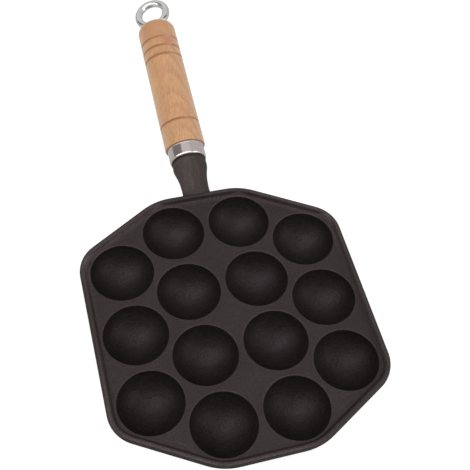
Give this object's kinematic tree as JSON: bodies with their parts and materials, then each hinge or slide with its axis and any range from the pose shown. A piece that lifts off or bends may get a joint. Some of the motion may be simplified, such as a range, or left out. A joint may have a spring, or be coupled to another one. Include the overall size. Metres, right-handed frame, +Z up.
{
  "type": "takoyaki pan",
  "caption": "Cast-iron pan with rows of round bowls for small filled batter balls, a raised rim, and a turned wooden grip screwed on by a rod with a hanging eye.",
  "frame": {"origin": "below the middle of the whole pan's box, on the plane that the flats under the bowls stand on; the middle of the bowl field is 79.8 mm from it towards -Y", "axes": "+Y from the bowl field towards the grip, +Z up out of the bowls, +X to the right when looking along +Y"},
  "size_m": [0.173, 0.3459, 0.059],
  "materials": {
    "cast_iron": "seasoned, satin, fine sand-cast grain",
    "ferrule_chrome": "polished plate",
    "beech": "turned beech, clear satin lacquer",
    "rod_chrome": "bright plate"
  },
  "bodies": {
    "pan": {"pan_casting": "cast_iron"},
    "ferrule": {"ferrule": "ferrule_chrome"},
    "handle": {"grip": "beech", "eye_rod": "rod_chrome"}
  },
  "joints": [
    {"name": "ferrule_back_off", "type": "slide", "parent": "pan", "child": "ferrule", "axis": [0, 0.9813, 0.1925], "range_m": [0, 0.016]},
    {"name": "handle_unscrew", "type": "hinge", "parent": "ferrule", "child": "handle", "pos_m": [0, 0.0152, 0.0206], "axis": [0, 0.9813, 0.1925], "range_deg": [0, 7200]}
  ],
  "couplings": [
    {"joint": "ferrule_back_off", "follows": "handle_unscrew", "m_per_rad": 0.00012732}
  ]
}
